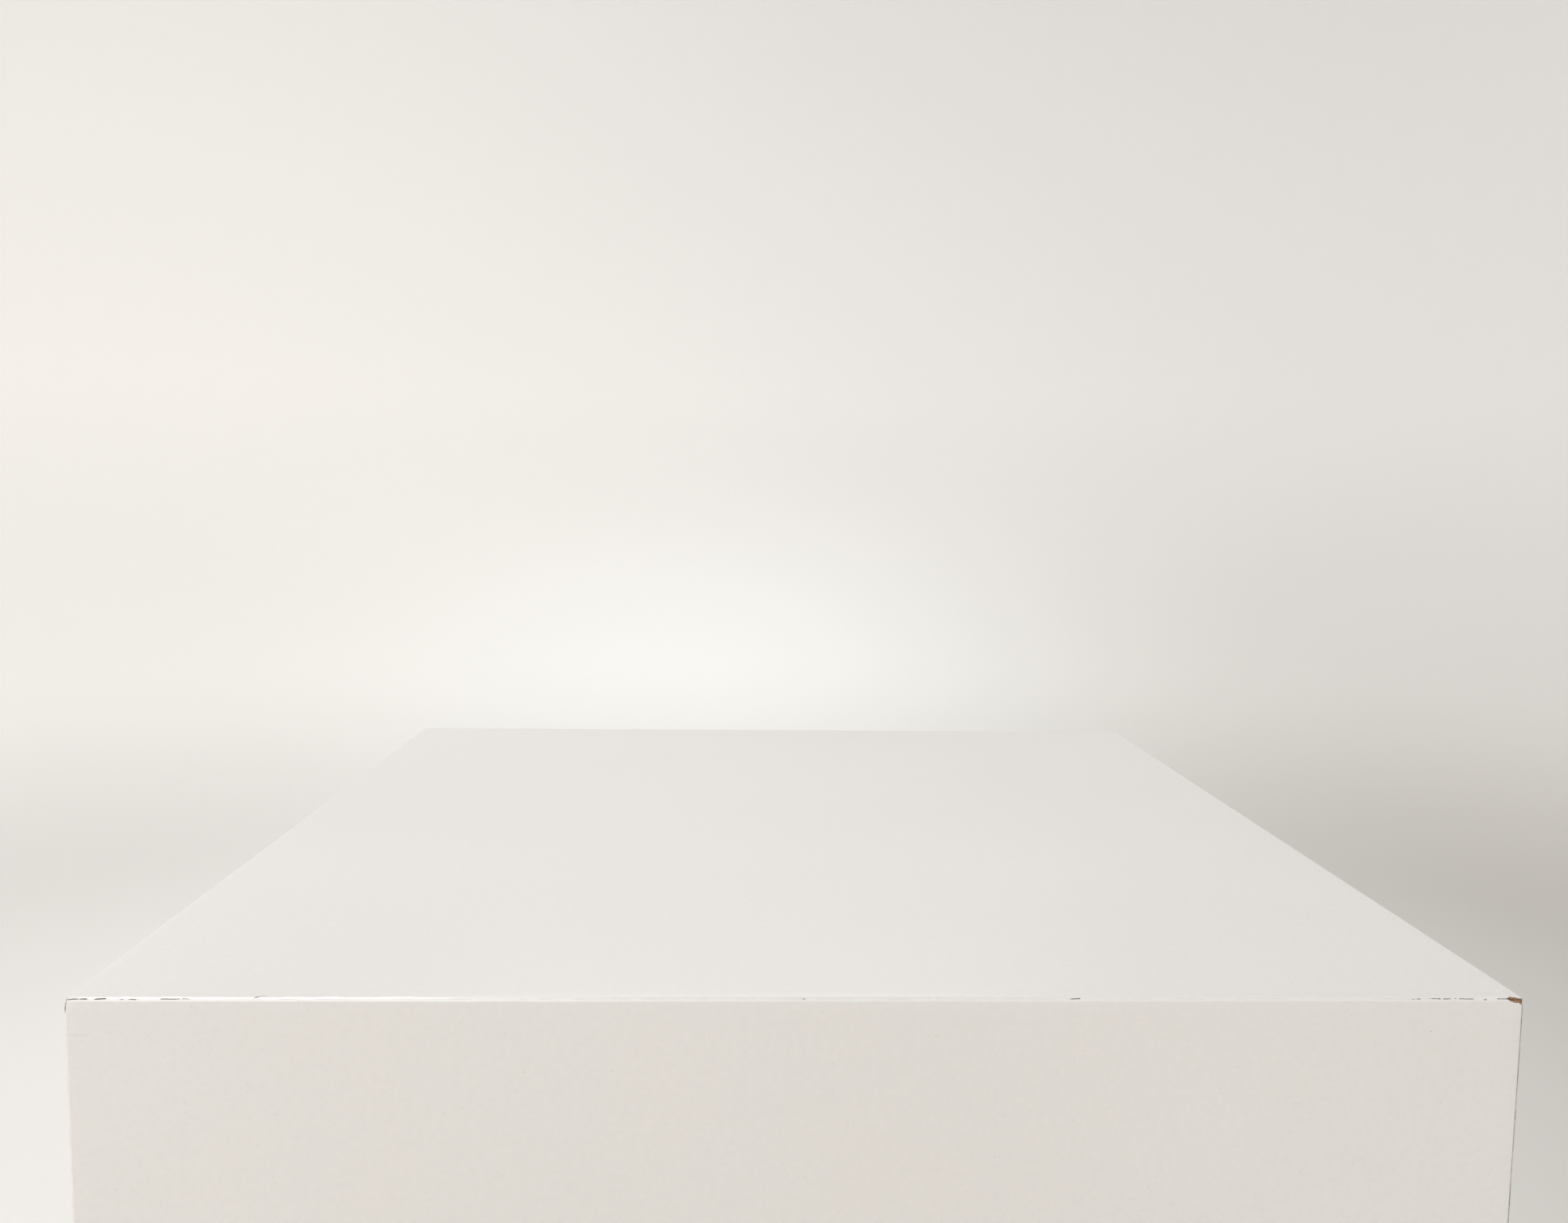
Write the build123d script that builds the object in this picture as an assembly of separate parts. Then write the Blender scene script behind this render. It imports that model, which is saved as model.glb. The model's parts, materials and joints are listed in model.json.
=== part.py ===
from build123d import *
import os
from math import sqrt

# A display plinth: a tall closed box of mitred board, eased and painted white outside, stiffened
# inside by softwood sticks, standing on four screw-adjusted levelling feet.
# Millimetres. +Z is up, the front faces -Y, and the origin is the middle of the footprint on the floor.

# ---- Driving dimensions ----
plinth_width = 500.0  # outside, along X
plinth_depth = 500.0  # outside, along Y
plinth_height = 1000.0  # floor to top face, feet fully screwed in
board = 18.0  # thickness of the five painted boards
arris = 1.5  # radius that eases every outside edge
floor_gap = 6.0  # the boards stop this far above the floor
stick = 34.0  # square section of the inner battens, cleats and rails
mid_rail_height = 500.0  # middle of the stiffening rails above the floor

# Base board and levelling feet
base_thickness = 18.0
base_fit = 0.5  # the base board is this much smaller than the box on each side
foot_clearance = 3.0  # between a foot's stud and the rails beside it
pad_radius = 21.0
pad_height = 9.0
pad_boss_radius = 12.0
pad_rim_height = 4.0
pad_edge = 1.0  # easing of the pad's bottom edge
socket_depth = 3.5  # how deep the stud's foot sits in the pad
socket_play = 0.2
stud_radius = 5.0
stud_foot_radius = 6.0
stud_length = 42.0  # above the spanner hex
stud_point = 1.0
hex_height = 5.0
hex_across_flats = 17.0
stop_gap = 0.3  # left between hex and tee nut when a foot is fully screwed in
nut_running_play = 0.1
nut_wall = 1.4
nut_flange_radius = 13.0
nut_flange = 1.5
nut_barrel = 13.0
nut_seat_play = 0.05

# Mitre biscuits
biscuit_length = 56.0
biscuit_thickness = 4.0
biscuit_inset = 5.0  # biscuit middle to the inner face of the boards, square to the face
biscuit_cover = 3.5  # board left between a slot and the painted face
slot_ease = 0.5  # slot longer and deeper than the biscuit
slot_play = 0.1  # slot thicker than the biscuit, each side
upright_biscuits = 5  # along each upright mitre
top_biscuits = 3  # along each top mitre
biscuit_end_margin = 80.0  # first and last biscuit to the ends of the mitre

# Countersunk wood screws
screw_radius = 2.0
screw_head_radius = 4.0
screw_point = 4.0
screw_play = 0.1
head_sink = 0.5  # head below the surface of the wood
tip_cover = 6.0  # board left between a screw point and the painted face
base_screw_bite = 25.0  # base board screws up into the rails
recess_length = 6.0
recess_width = 0.9
recess_depth = 1.5
screw_stagger = 26.0  # between the two directions of screws in one batten
batten_screw_rows = 4
batten_end_margin = 110.0  # first and last screw row to the ends of a batten
rail_screw_share = 0.3  # rail screws at this share of the rail's length, each side of its middle
cross_screw_share = 0.15  # cleats up into the top, and base board up into the rails

# ---- Sizes that follow ----
half_width = plinth_width / 2
half_depth = plinth_depth / 2
inner_width = half_width - board
inner_depth = half_depth - board
ceiling = plinth_height - board  # underside of the top board
base_under = pad_height + hex_height + stop_gap + nut_flange
base_top = base_under + base_thickness
foot_inset = board + stick + foot_clearance + stud_radius
batten_height = ceiling - base_top
biscuit_middle = board - biscuit_inset
slot_half_depth = (biscuit_middle - biscuit_cover) * sqrt(2) - biscuit_thickness / 2 - slot_play
stick_screw_length = stick - head_sink + board - tip_cover
base_screw_length = base_thickness - head_sink + base_screw_bite
overrun = 1.0  # how far a cutting tool runs past the surface it opens

# Each side is drawn as the front and turned into place: name, turn, width, distance from the middle
SIDES = [
    ("front", 0, plinth_width, half_depth),
    ("right", 90, plinth_depth, half_width),
    ("back", 180, plinth_width, half_depth),
    ("left", 270, plinth_depth, half_width),
]
# Each corner: name, direction along X, direction along Y
CORNERS = [
    ("front_left", -1, -1),
    ("front_right", 1, -1),
    ("back_left", -1, 1),
    ("back_right", 1, 1),
]


def spaced(count, low, high):
    """Even places from low to high, ends included."""
    return [low + (high - low) * i / (count - 1) for i in range(count)]


# ---- Biscuits and screws, with the holes they need ----
def lens(length, width, thickness):
    """A flat lens shape: two arcs meeting at its ends, length along X, lying in the XY plane."""
    outline = ThreePointArc((-length / 2, 0), (0, width / 2), (length / 2, 0))
    outline += ThreePointArc((length / 2, 0), (0, -width / 2), (-length / 2, 0))
    return extrude(make_face(outline), thickness / 2, both=True)


def biscuit():
    return lens(biscuit_length, 2 * (slot_half_depth - slot_ease), biscuit_thickness)


def biscuit_slot():
    length = biscuit_length + 2 * slot_ease
    return lens(length, 2 * slot_half_depth, biscuit_thickness + 2 * slot_play)


def upright_biscuit_places():
    places = []
    for _, along_x, along_y in CORNERS:
        turn = 45 * along_x * along_y
        heights = spaced(upright_biscuits, floor_gap + biscuit_end_margin,
                         plinth_height - biscuit_end_margin)
        for height in heights:
            x = along_x * (half_width - biscuit_middle)
            y = along_y * (half_depth - biscuit_middle)
            places.append(Pos(x, y, height) * Rot(0, 0, turn) * Rot(0, -90, 0))
    return places


def top_biscuit_places():
    places = []
    for _, turn, width, reach in SIDES:
        reach_in = width / 2 - biscuit_end_margin
        for x in spaced(top_biscuits, -reach_in, reach_in):
            place = Pos(x, -(reach - biscuit_middle), plinth_height - biscuit_middle)
            places.append(Rot(0, 0, turn) * place * Rot(45, 0, 0))
    return places


def screw_form(length, play):
    """A countersunk screw pointing down, the top of its head at z = 0."""
    head = screw_head_radius + play
    shank = screw_radius + play
    neck = screw_radius - screw_head_radius
    tip = -length - play
    outline = Polyline(
        (0, 0), (head, 0), (shank, neck), (shank, tip + screw_point), (0, tip), close=True
    )
    return revolve(Plane.XZ * make_face(outline), Axis.Z)


def screw(length):
    """The screw itself, with a cross recess in its head."""
    arm = Box(recess_length, recess_width, 2 * recess_depth)
    return screw_form(length, 0) - arm - Rot(0, 0, 90) * arm


def screw_hole(length):
    """The hole that a screw sits in, open at the surface above its head."""
    align = (Align.CENTER, Align.CENTER, Align.MIN)
    mouth = Cylinder(screw_head_radius + screw_play, head_sink + overrun, align=align)
    return screw_form(length, screw_play) + mouth


def outward(turn, x, reach, height):
    """A screw from a stick's inner face out into the board behind it, drawn at the front."""
    y = -(reach - board - stick + head_sink)
    return Rot(0, 0, turn) * Pos(x, y, height) * Rot(-90, 0, 0)


def batten_screw_places():
    rows = spaced(batten_screw_rows, base_top + batten_end_margin, ceiling - batten_end_margin)
    places = []
    for _, turn, width, reach in SIDES:
        lift = screw_stagger if turn in (90, 270) else 0
        x = width / 2 - board - stick / 2
        for side in (-1, 1):
            places += [outward(turn, side * x, reach, row + lift) for row in rows]
    return places


def rail_length(width):
    """Rails and cleats run between the corner battens."""
    return width - 2 * board - 2 * stick


def rail_screw_places(height):
    places = []
    for _, turn, width, reach in SIDES:
        x = rail_screw_share * rail_length(width)
        places += [outward(turn, side * x, reach, height) for side in (-1, 1)]
    return places


def top_screw_places():
    """Screws up through the cleats into the top board."""
    places = []
    for _, turn, width, reach in SIDES:
        x = cross_screw_share * rail_length(width)
        y = -(reach - board - stick / 2)
        for side in (-1, 1):
            place = Pos(side * x, y, ceiling - stick + head_sink)
            places.append(Rot(0, 0, turn) * place * Rot(180, 0, 0))
    return places


def base_screw_places():
    """Screws up through the base board into the base rails."""
    places = []
    for _, turn, width, reach in SIDES:
        x = cross_screw_share * rail_length(width)
        y = -(reach - board - stick / 2)
        for side in (-1, 1):
            place = Pos(side * x, y, base_under + head_sink)
            places.append(Rot(0, 0, turn) * place * Rot(180, 0, 0))
    return places


batten_screws = batten_screw_places()
top_side_screws = rail_screw_places(ceiling - stick / 2)
mid_rail_screws = rail_screw_places(mid_rail_height)
base_rail_screws = rail_screw_places(base_top + stick / 2)
top_screws = top_screw_places()
base_screws = base_screw_places()

stick_holes = [
    place * screw_hole(stick_screw_length)
    for place in batten_screws + top_side_screws + mid_rail_screws + base_rail_screws + top_screws
]
base_holes = [place * screw_hole(base_screw_length) for place in base_screws]
biscuit_slots = [place * biscuit_slot() for place in upright_biscuit_places() + top_biscuit_places()]


def cut_where_met(piece, tools):
    """The piece less each tool whose box meets the piece's box."""
    box = piece.bounding_box()
    near = []
    for tool in tools:
        other = tool.bounding_box()
        apart = (
            other.min.X > box.max.X or other.max.X < box.min.X
            or other.min.Y > box.max.Y or other.max.Y < box.min.Y
            or other.min.Z > box.max.Z or other.max.Z < box.min.Z
        )
        if not apart:
            near.append(tool)
    return piece - near if near else piece


# ---- Painted boards ----
def eased_box(width, depth):
    """The outside of the plinth with every edge eased."""
    height = plinth_height - floor_gap
    body = Pos(0, 0, floor_gap + height / 2) * Box(width, depth, height)
    return fillet(body.edges(), arris)


def upright_board(turn, width, reach):
    """One side: mitred at 45 degrees on both upright edges and on its top edge, square at the bottom."""
    plan = make_face(Polyline(
        (-width / 2, -reach),
        (width / 2, -reach),
        (width / 2 - board, -reach + board),
        (-width / 2 + board, -reach + board),
        close=True,
    ))
    side_view = Plane.YZ * make_face(Polyline(
        (-reach, floor_gap),
        (-reach, plinth_height),
        (-reach + board, ceiling),
        (-reach + board, floor_gap),
        close=True,
    ))
    blank = extrude(plan, plinth_height) & extrude(side_view, width, both=True)
    return Rot(0, 0, turn) * (blank & eased_box(width, 2 * reach))


def top_board():
    """The top, mitred at 45 degrees on all four edges."""
    across = Plane.XZ * make_face(Polyline(
        (-half_width, plinth_height),
        (half_width, plinth_height),
        (inner_width, ceiling),
        (-inner_width, ceiling),
        close=True,
    ))
    along = Plane.YZ * make_face(Polyline(
        (-half_depth, plinth_height),
        (half_depth, plinth_height),
        (inner_depth, ceiling),
        (-inner_depth, ceiling),
        close=True,
    ))
    blank = extrude(across, plinth_depth, both=True) & extrude(along, plinth_width, both=True)
    return blank & eased_box(plinth_width, plinth_depth)


# ---- Inner frame ----
def corner_batten(along_x, along_y):
    x = along_x * (inner_width - stick / 2)
    y = along_y * (inner_depth - stick / 2)
    return Pos(x, y, base_top + batten_height / 2) * Box(stick, stick, batten_height)


def rail(turn, width, reach, height):
    """A stick lying along one side, between the corner battens."""
    y = -(reach - board - stick / 2)
    return Rot(0, 0, turn) * Pos(0, y, height) * Box(rail_length(width), stick, stick)


# ---- Base board, tee nuts and feet ----
def foot_axis(along_x, along_y):
    return Pos(along_x * (half_width - foot_inset), along_y * (half_depth - foot_inset), 0)


nut_outer_radius = stud_radius + nut_running_play + nut_wall


def tee_nut():
    """A flanged barrel pressed up into the base board, bored for the stud."""
    flange = Cylinder(nut_flange_radius, nut_flange, align=(Align.CENTER, Align.CENTER, Align.MAX))
    barrel = Cylinder(nut_outer_radius, nut_barrel, align=(Align.CENTER, Align.CENTER, Align.MIN))
    bore = Cylinder(stud_radius + nut_running_play, 2 * (nut_barrel + overrun))
    return Pos(0, 0, base_under) * (flange + barrel - bore)


def base_board():
    """A plywood board inside the foot of the box, holed for the tee nuts."""
    width = 2 * (inner_width - base_fit)
    depth = 2 * (inner_depth - base_fit)
    hole = Cylinder(nut_outer_radius + nut_seat_play, base_thickness + 2 * overrun)
    holes = [foot_axis(along_x, along_y) * hole for _, along_x, along_y in CORNERS]
    return Pos(0, 0, base_under + base_thickness / 2) * (Box(width, depth, base_thickness) - holes)


def foot_pad():
    """A moulded disc: flat underneath, sloping from its rim up to the boss that holds the stud."""
    outline = Polyline(
        (0, 0),
        (pad_radius - pad_edge, 0),
        (pad_radius, pad_edge),
        (pad_radius, pad_rim_height),
        (pad_boss_radius, pad_height),
        (stud_foot_radius + socket_play, pad_height),
        (stud_foot_radius + socket_play, pad_height - socket_depth),
        (0, pad_height - socket_depth),
        close=True,
    )
    return revolve(Plane.XZ * make_face(outline), Axis.Z)


def foot_stud():
    """The screwed stud: a round foot in the pad, a spanner hex and a plain-drawn thread."""
    align = (Align.CENTER, Align.CENTER, Align.MIN)
    foot = Pos(0, 0, pad_height - socket_depth) * Cylinder(stud_foot_radius, socket_depth, align=align)
    hexagon = RegularPolygon(hex_across_flats / 2, 6, major_radius=False)
    spanner_hex = Pos(0, 0, pad_height) * extrude(hexagon, hex_height)
    thread = Cylinder(stud_radius, stud_length, align=align)
    thread = chamfer(thread.edges().sort_by(Axis.Z)[-1], stud_point)
    return foot + spanner_hex + Pos(0, 0, pad_height + hex_height) * thread


# ---- Writing the parts ----
def write(name, shapes):
    """One STEP file per node; several shapes stay separate solids in one file."""
    solids = [solid for shape in shapes for solid in shape.solids()]
    export_step(solids[0] if len(solids) == 1 else Compound(children=solids), f"parts/{name}.step")


def build():
    os.makedirs("parts", exist_ok=True)

    write("top_panel", [cut_where_met(top_board(), biscuit_slots + stick_holes)])
    for side, turn, width, reach in SIDES:
        panel = upright_board(turn, width, reach)
        write(f"{side}_panel", [cut_where_met(panel, biscuit_slots + stick_holes)])

    for corner, along_x, along_y in CORNERS:
        batten = corner_batten(along_x, along_y)
        write(f"corner_batten_{corner}", [cut_where_met(batten, stick_holes)])
    for level, height in (
        ("top_cleat", ceiling - stick / 2),
        ("mid_rail", mid_rail_height),
        ("base_rail", base_top + stick / 2),
    ):
        for side, turn, width, reach in SIDES:
            piece = rail(turn, width, reach, height)
            write(f"{level}_{side}", [cut_where_met(piece, stick_holes + base_holes)])

    write("base_board", [cut_where_met(base_board(), base_holes)])
    write("upright_mitre_biscuits", [place * biscuit() for place in upright_biscuit_places()])
    write("top_mitre_biscuits", [place * biscuit() for place in top_biscuit_places()])

    stick_screw = screw(stick_screw_length)
    base_screw = screw(base_screw_length)
    write("batten_screws", [place * stick_screw for place in batten_screws])
    write("top_cleat_screws", [place * stick_screw for place in top_side_screws + top_screws])
    write("mid_rail_screws", [place * stick_screw for place in mid_rail_screws])
    write("base_rail_screws", [place * stick_screw for place in base_rail_screws])
    write("base_board_screws", [place * base_screw for place in base_screws])

    write("tee_nuts", [foot_axis(along_x, along_y) * tee_nut() for _, along_x, along_y in CORNERS])
    for corner, along_x, along_y in CORNERS:
        write(f"foot_pad_{corner}", [foot_axis(along_x, along_y) * foot_pad()])
        write(f"foot_stud_{corner}", [foot_axis(along_x, along_y) * foot_stud()])


if __name__ == "__main__":
    build()
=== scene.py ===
import json
import math

import bmesh
import bpy
import numpy as np
from mathutils import Matrix, Vector

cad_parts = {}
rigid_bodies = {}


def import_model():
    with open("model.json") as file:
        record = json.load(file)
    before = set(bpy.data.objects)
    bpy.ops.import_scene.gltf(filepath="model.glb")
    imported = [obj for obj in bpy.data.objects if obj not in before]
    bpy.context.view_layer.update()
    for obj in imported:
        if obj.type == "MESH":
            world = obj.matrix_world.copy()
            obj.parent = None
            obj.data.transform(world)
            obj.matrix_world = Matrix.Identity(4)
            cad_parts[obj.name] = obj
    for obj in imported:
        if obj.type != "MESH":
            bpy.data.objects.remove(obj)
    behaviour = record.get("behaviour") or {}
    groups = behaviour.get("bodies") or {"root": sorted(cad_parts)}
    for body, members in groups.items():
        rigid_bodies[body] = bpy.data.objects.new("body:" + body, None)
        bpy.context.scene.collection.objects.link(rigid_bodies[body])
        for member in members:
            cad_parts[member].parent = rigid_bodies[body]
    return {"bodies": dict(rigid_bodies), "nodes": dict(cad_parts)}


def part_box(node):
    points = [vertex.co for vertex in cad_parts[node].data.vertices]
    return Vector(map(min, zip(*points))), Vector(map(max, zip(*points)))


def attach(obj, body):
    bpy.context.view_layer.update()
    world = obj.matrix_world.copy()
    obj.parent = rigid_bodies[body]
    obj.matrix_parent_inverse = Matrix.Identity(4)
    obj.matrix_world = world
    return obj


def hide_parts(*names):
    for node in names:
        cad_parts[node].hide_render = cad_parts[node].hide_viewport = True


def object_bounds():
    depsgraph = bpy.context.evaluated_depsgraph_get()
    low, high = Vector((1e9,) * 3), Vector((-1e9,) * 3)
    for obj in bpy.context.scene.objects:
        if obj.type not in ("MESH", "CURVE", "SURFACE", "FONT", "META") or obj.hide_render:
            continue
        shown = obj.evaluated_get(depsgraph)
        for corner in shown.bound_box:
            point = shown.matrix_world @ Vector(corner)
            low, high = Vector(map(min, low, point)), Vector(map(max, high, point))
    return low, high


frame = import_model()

# A white display plinth. The five painted boards, the levelling feet and their studs are made here as
# fine meshes in the places that the frame gives; the wood, screws and tee nuts inside keep their own
# meshes and get their finishes. Metres throughout, unless a name ends in _mm.

MM = 0.001

# ---- Sizes read from the frame ----
cad_low, cad_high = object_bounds()
front_low, front_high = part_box("front_panel")
width = cad_high.x - cad_low.x
depth = cad_high.y - cad_low.y
top = cad_high.z
board_foot = front_low.z
board_thickness = front_high.y - front_low.y
arris = (cad_high.x - front_high.x) / (1 - math.sqrt(0.5))

# ---- Fineness of the board meshes ----
arris_rows = 6
band_steps_mm = (0.3, 0.35, 0.4, 0.45, 0.5, 0.6, 0.7, 0.8)
halving_steps_mm = (1.2, 1.8, 2.8, 5.0)
lines_across = 512
lines_up = 768
corner_crowding = 3.0
corner_reach = 0.012


# ---- Repeatable noise ----
def hashed(cells, seed):
    """A number from 0 to 1 for each whole-numbered cell: its three numbers are mixed by odd
    multipliers and a shift, and sixteen of the bits are kept."""
    cells = cells.astype(np.int64)
    mixed = cells @ np.array([374761393, 668265263, 1442695041]) + seed * 974634777
    mixed &= 0xFFFFFFFF
    mixed = ((mixed ^ (mixed >> 13)) * 1274126177) & 0xFFFFFFFF
    return ((mixed >> 15) & 0xFFFF) / 0xFFFF


def smooth_noise(points, size, seed):
    """Noise from 0 to 1 in cells of that size: each cell corner's number, blended along the three
    axes by 3t^2 - 2t^3."""
    scaled = points / size
    cell = np.floor(scaled)
    blend = scaled - cell
    blend = blend * blend * (3 - 2 * blend)
    total = np.zeros(len(points))
    for corner in np.ndindex(2, 2, 2):
        share = np.prod(np.where(corner, blend, 1 - blend), axis=1)
        total += share * hashed(cell + np.array(corner), seed)
    return total


def ramp(value, low, high):
    """0 below low, 1 above high, and 3t^2 - 2t^3 between."""
    t = np.clip((value - low) / (high - low), 0, 1)
    return t * t * (3 - 2 * t)


# ---- Wear on the edges ----
# Places along the front top edge in millimetres from its left end: start, end, strength.
front_seam_cracks_mm = (
    (0.0, 3.4, 1.1), (3.4, 5.3, 0.9), (5.6, 8.3, 1.0), (10.4, 14.2, 1.0), (18.9, 20.1, 0.75),
    (22.2, 24.4, 0.8),
    (32.1, 37.7, 0.8), (37.7, 41.8, 0.5), (44.3, 45.4, 0.45), (191.4, 192.0, 0.6), (216.8, 217.3, 1.0),
    (248.6, 249.5, 1.1), (340.6, 344.4, 0.9), (460.3, 460.9, 0.8), (461.7, 463.1, 1.0),
    (465.9, 466.4, 0.5), (466.8, 470.5, 0.7), (471.2, 474.0, 0.8), (475.3, 475.9, 0.6),
    (476.8, 478.4, 0.75), (478.9, 481.7, 0.75), (489.9, 490.8, 0.6), (490.8, 495.0, 0.9),
)
corner_crack_mm = 4.8  # down the left front edge from its top
# Nicks in the left front edge: distance below the top, depth.
left_nicks_mm = ((12.4, 0.30), (27.0, 0.12), (57.6, 0.28), (66.5, 0.20), (131.0, 0.25), (402.0, 0.30))
# The chip out of the top right corner of the front, as overlapping ovals: distance from the left end,
# distance down the front from the seam, half length, half height.
chip_ovals_mm = ((496.9, 0.35, 3.2, 1.10), (498.5, 0.85, 1.10, 1.30))
chip_depth = 0.9 * MM
chip_edge_roughness = 0.6
arris_noise_cells = (17 * MM, 4 * MM)
waver_cells = (26 * MM, 6 * MM)
pit_mm = (485.9, 0.45, 0.34, 0.38)
pit_depth = 0.35 * MM
crack_depth = 0.12 * MM
crack_half_mm = 0.25
worn_corner_reach = 2.7 * MM
worn_corner_depth = 0.80 * MM


def oval_field(along_mm, below_mm, ovals):
    """1 at the middle of an oval, 0 on its outline and negative outside; the highest of them."""
    fields = [
        1 - np.hypot((along_mm - along) / half_length, (below_mm - below) / half_height)
        for along, below, half_length, half_height in ovals
    ]
    return np.max(fields, axis=0)


def flattened_arris(points, directions):
    """Depth that brings a rounded edge back to a sanded flat at 45 degrees: r - (2r - leg) / s, where r
    is the arris and s the sum of the two largest parts of the outward direction. The flat's leg
    changes a little along the edge, and is smaller towards the left."""
    parts = np.sort(np.abs(directions), axis=1)
    share = 0.80 + 0.08 * ramp(points[:, 0], -width / 2, -width / 8)
    slow_cell, quick_cell = arris_noise_cells
    share += 0.08 * smooth_noise(points, slow_cell, 13) + 0.03 * smooth_noise(points, quick_cell, 14)
    leg = arris * share
    return np.maximum(arris - (2 * arris - leg) / (parts[:, 1] + parts[:, 2]), 0)


def edge_waver(points, near_edge):
    """Depth of the gentle unevenness that sanding and thick paint leave along an eased edge: two
    noises, one in 26 mm and one in 6 mm cells, fading to nothing away from the edge."""
    slow_cell, quick_cell = waver_cells
    slow = smooth_noise(points, slow_cell, 11)
    quick = smooth_noise(points, quick_cell, 12)
    return near_edge * (0.10 * slow + 0.04 * quick) * MM


def corner_wear(points):
    """Depth of the rounding-off at the top corners: a bell around each corner, deepest at the front
    left, and shallow dents where the left front edge was knocked."""
    deep = np.zeros(len(points))
    for side_x, side_y, share in ((-1, -1, 1.0), (1, -1, 0.35), (-1, 1, 0.6), (1, 1, 0.5)):
        corner = np.array([side_x * width / 2, side_y * depth / 2, top])
        away = np.linalg.norm(points - corner, axis=1)
        deep += share * worn_corner_depth * np.exp(-((away / worn_corner_reach) ** 2))
    edge_away = np.hypot(points[:, 0] + width / 2, points[:, 1] + depth / 2)
    for below_mm, nick_mm in left_nicks_mm:
        along = (top - points[:, 2]) / MM - below_mm
        nick = np.exp(-((along / 0.8) ** 2) - (edge_away / (1.1 * MM)) ** 2)
        deep += nick_mm * MM * nick
    return deep


def seam_cracks(points):
    """How strong the dark line along the mitre nearest to each point is, from 0 to 1: the listed
    cracked dashes on the front top edge, a line down both front edges, dark all the way down the right one,
    and noise dashes elsewhere that crowd towards the corners."""
    from_left = (points[:, 0] + width / 2) / MM
    below = (top - points[:, 2]) / MM
    from_end = np.minimum(from_left, width / MM - from_left)
    nearest_corner = np.copysign(1, points) * [width / 2, depth / 2, 0] + [0, 0, top]
    corner_mm = np.linalg.norm(points - nearest_corner, axis=1) / MM
    dashes = smooth_noise(points, 7 * MM, 21)
    elsewhere = 0.75 * ramp(dashes, 0.86 - 0.22 * np.exp(-corner_mm / 30), 0.94)
    front = points[:, 1] < -depth / 2 + 4 * MM
    on_top_edge = front & (below < 4) & (below < from_end)
    on_right = front & (from_left > width / MM - 4) & ~on_top_edge
    on_left = front & (from_left < 4) & ~on_top_edge
    listed = np.zeros(len(points))
    for start, end, strength in front_seam_cracks_mm:
        inside = ramp(from_left, start - 0.3, start + 0.3) * (1 - ramp(from_left, end - 0.3, end + 0.3))
        listed = np.maximum(listed, strength * inside)
    past_crack = ramp(below, corner_crack_mm - 1, corner_crack_mm + 1)
    down_left = np.maximum(2.8 - 2.8 * past_crack, 0.5 * elsewhere)
    # All the way down the right front edge the line is dark.
    down_right = 1.4 + 0.5 * smooth_noise(points, 12 * MM, 22)
    return np.select([on_top_edge, on_right, on_left], [listed, down_right, down_left], elsewhere)


# ---- The painted boards ----
# name: middle of the outer face's foot, direction across, direction up, half width, low, high, square foot
X, Y, Z = np.eye(3)
BOARDS = {
    "front_panel": (-Y * depth / 2, X, Z, width / 2, board_foot, top, True),
    "right_panel": (X * width / 2, Y, Z, depth / 2, board_foot, top, True),
    "back_panel": (Y * depth / 2, -X, Z, width / 2, board_foot, top, True),
    "left_panel": (-X * width / 2, -Y, Z, depth / 2, board_foot, top, True),
    "top_panel": (Z * top, X, Y, width / 2, -depth / 2, depth / 2, False),
}


def crowded(count, length):
    """count + 1 shares from 0 to 1, closer together near both ends: equal steps of the running total
    of 1 + crowding * e^(-distance to the nearer end / reach)."""
    place = np.linspace(0, length, 4001)
    crowd = 1 + corner_crowding * np.exp(-np.minimum(place, length - place) / corner_reach)
    total = np.concatenate([[0], np.cumsum((crowd[1:] + crowd[:-1]) / 2)])
    return np.interp(np.linspace(0, 1, count + 1), total / total[-1], place / length)


def rectangle(half_u, low_v, high_v, shares_u, shares_v):
    """Points once round a rectangle, anticlockwise from its lower left corner, each side divided by
    the given shares."""
    u = -half_u + 2 * half_u * shares_u
    v = low_v + (high_v - low_v) * shares_v
    lower = np.column_stack([u[:-1], np.full(len(u) - 1, low_v)])
    right = np.column_stack([np.full(len(v) - 1, half_u), v[:-1]])
    upper = np.column_stack([u[:0:-1], np.full(len(u) - 1, high_v)])
    left = np.column_stack([np.full(len(v) - 1, -half_u), v[:0:-1]])
    return np.concatenate([lower, right, upper, left])


def ring_faces(outer, inner):
    """Faces between two closed rings of point numbers: four-sided where the rings have as many
    points, and five-sided, two outer steps to one inner step, where the inner has half as many."""
    if len(outer) == len(inner):
        return np.column_stack([outer, np.roll(outer, -1), np.roll(inner, -1), inner])
    first = outer[::2]
    return np.column_stack([first, outer[1::2], np.roll(first, -1), np.roll(inner, -1), inner])


def lattice(ring, across, up, first_new):
    """Point numbers of a grid whose edge is the given ring, its inner points numbered from
    first_new."""
    grid = np.zeros((up + 1, across + 1), int)
    grid[0, :-1] = ring[:across]
    grid[:-1, -1] = ring[across:across + up]
    grid[-1, :0:-1] = ring[across + up:2 * across + up]
    grid[:0:-1, 0] = ring[2 * across + up:]
    grid[1:-1, 1:-1] = first_new + np.arange((up - 1) * (across - 1)).reshape(up - 1, across - 1)
    return grid


def grid_faces(grid):
    """Four-sided faces of a grid of point numbers."""
    corners = [grid[:-1, :-1], grid[:-1, 1:], grid[1:, 1:], grid[1:, :-1]]
    return np.stack(corners, axis=-1).reshape(-1, 4)


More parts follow.
